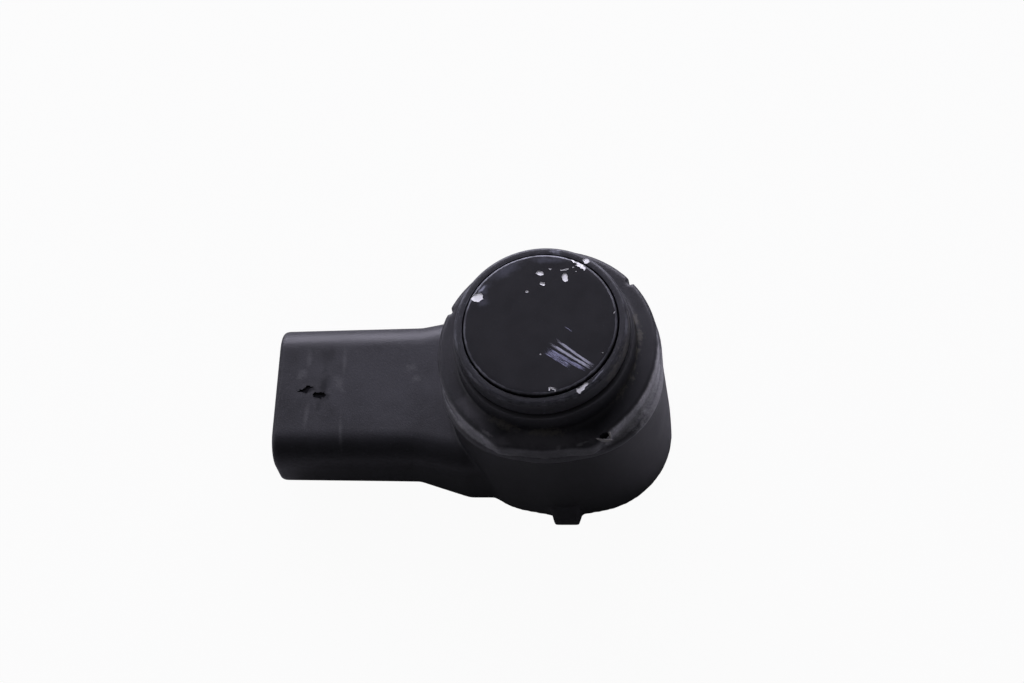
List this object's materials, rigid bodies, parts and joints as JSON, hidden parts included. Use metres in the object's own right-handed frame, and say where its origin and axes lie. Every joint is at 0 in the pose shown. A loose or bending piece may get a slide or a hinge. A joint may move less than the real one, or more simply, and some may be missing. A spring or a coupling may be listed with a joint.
{
  "type": "parking sensor",
  "caption": "Ultrasonic parking sensor with a round head, seating flange, flat-sided body, snap lugs and a right-angle plug inlet, worn and chipped.",
  "frame": {"origin": "on the sensing axis at the flange's shoulder, where the head tube begins", "axes": "+Z along the sensing axis, out of the sensing face; the plug inlet opens toward -X; the flat front with its snap lug faces -Y"},
  "size_m": [0.0417, 0.024, 0.0237],
  "materials": {
    "housing_plastic": "worn satin black, lightly scuffed",
    "face_paint": "satin black paint on aluminium, chipped to white primer",
    "silicone": "matte black silicone, rubbed pale on its edges",
    "inner_plastic": "moulded black plastic",
    "piezo_ceramic": "fired ceramic",
    "foam": "white silicone foam",
    "lead_red": "insulated wire",
    "lead_black": "insulated wire",
    "board": "green solder mask on glass-fibre laminate",
    "chip": "moulded black package",
    "ferrite": "pressed ferrite",
    "copper": "enamelled copper wire",
    "tantalum": "moulded yellow package",
    "capacitor_ceramic": "brown ceramic chip",
    "tinned": "tin-plated blade",
    "resin": "cast black resin",
    "cover_plastic": "moulded black plastic"
  },
  "bodies": {
    "root": {"housing": "housing_plastic", "membrane_cup": "face_paint", "decoupling_ring": "silicone", "retaining_ring": "inner_plastic", "piezo_disc": "piezo_ceramic", "damping_foam": "foam", "lead_signal": "lead_red", "lead_ground": "lead_black", "circuit_board": "board", "control_chip": "chip", "transformer_base": "inner_plastic", "transformer_drum": "ferrite", "transformer_winding": "copper", "supply_capacitor": "tantalum", "tuning_capacitor": "capacitor_ceramic", "resistors": "chip", "terminal_left": "tinned", "terminal_middle": "tinned", "terminal_right": "tinned", "terminal_carrier": "inner_plastic", "potting": "resin", "rear_cover": "cover_plastic"}
  },
  "joints": []
}
